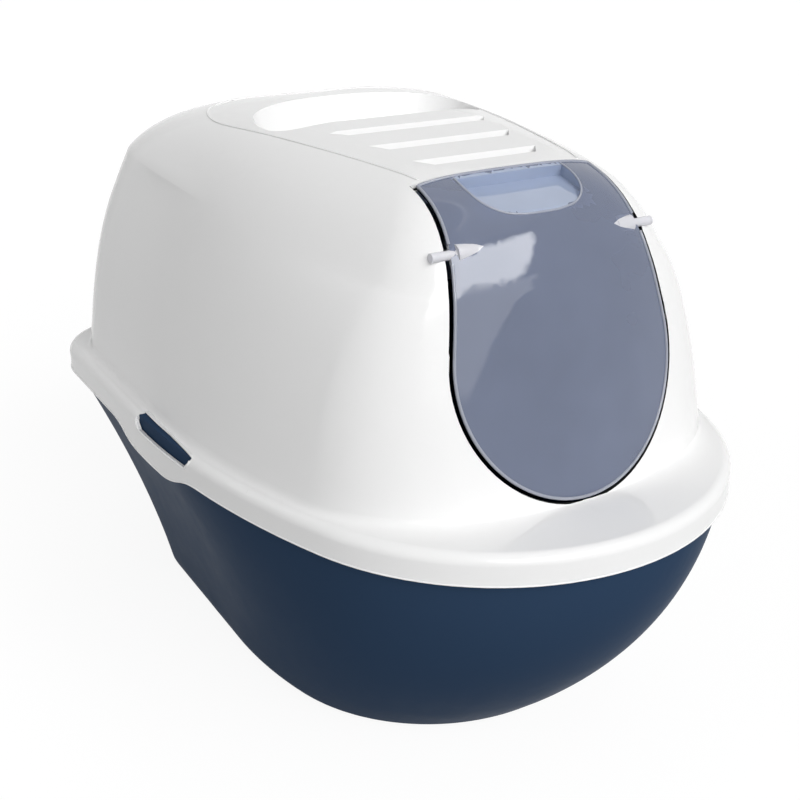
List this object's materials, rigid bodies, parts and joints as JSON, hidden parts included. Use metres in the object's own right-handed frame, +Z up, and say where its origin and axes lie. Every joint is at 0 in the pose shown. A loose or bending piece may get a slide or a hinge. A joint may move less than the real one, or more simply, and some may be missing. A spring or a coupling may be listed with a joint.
{
  "type": "litter box",
  "caption": "Hooded cat litter box: deep dark tray, white lift-off hood with carrying dish and louvred roof vents, clear swing flap, carbon filter in a drop-down cover.",
  "frame": {"origin": "on the floor under the middle of the box", "axes": "+Z up, -Y towards the entrance, +X across"},
  "size_m": [0.4, 0.54, 0.4041],
  "materials": {
    "navy_plastic": "moulded polypropylene with a soft sheen",
    "white_plastic": "moulded polypropylene with a soft sheen",
    "clear_plastic": "clear smoky moulded styrene",
    "carbon_felt": "open felt loaded with active carbon"
  },
  "bodies": {
    "base_tray": {"base_tray": "navy_plastic"},
    "hood": {"hood": "white_plastic"},
    "entry_flap": {"entry_flap": "clear_plastic"},
    "filter_cover": {"filter_cover": "white_plastic", "carbon_filter": "carbon_felt"}
  },
  "joints": [
    {"name": "hood_lift", "type": "slide", "parent": "base_tray", "child": "hood", "axis": [0, 0, 1], "range_m": [0, 0.25]},
    {"name": "flap_swing", "type": "hinge", "parent": "hood", "child": "entry_flap", "pos_m": [0, -0.161, 0.356], "axis": [1, 0, 0], "range_deg": [-60, 60]},
    {"name": "filter_cover_swing", "type": "hinge", "parent": "hood", "child": "filter_cover", "pos_m": [0, 0.0115, 0.38028], "axis": [1, 0, 0], "range_deg": [0, 85]}
  ]
}
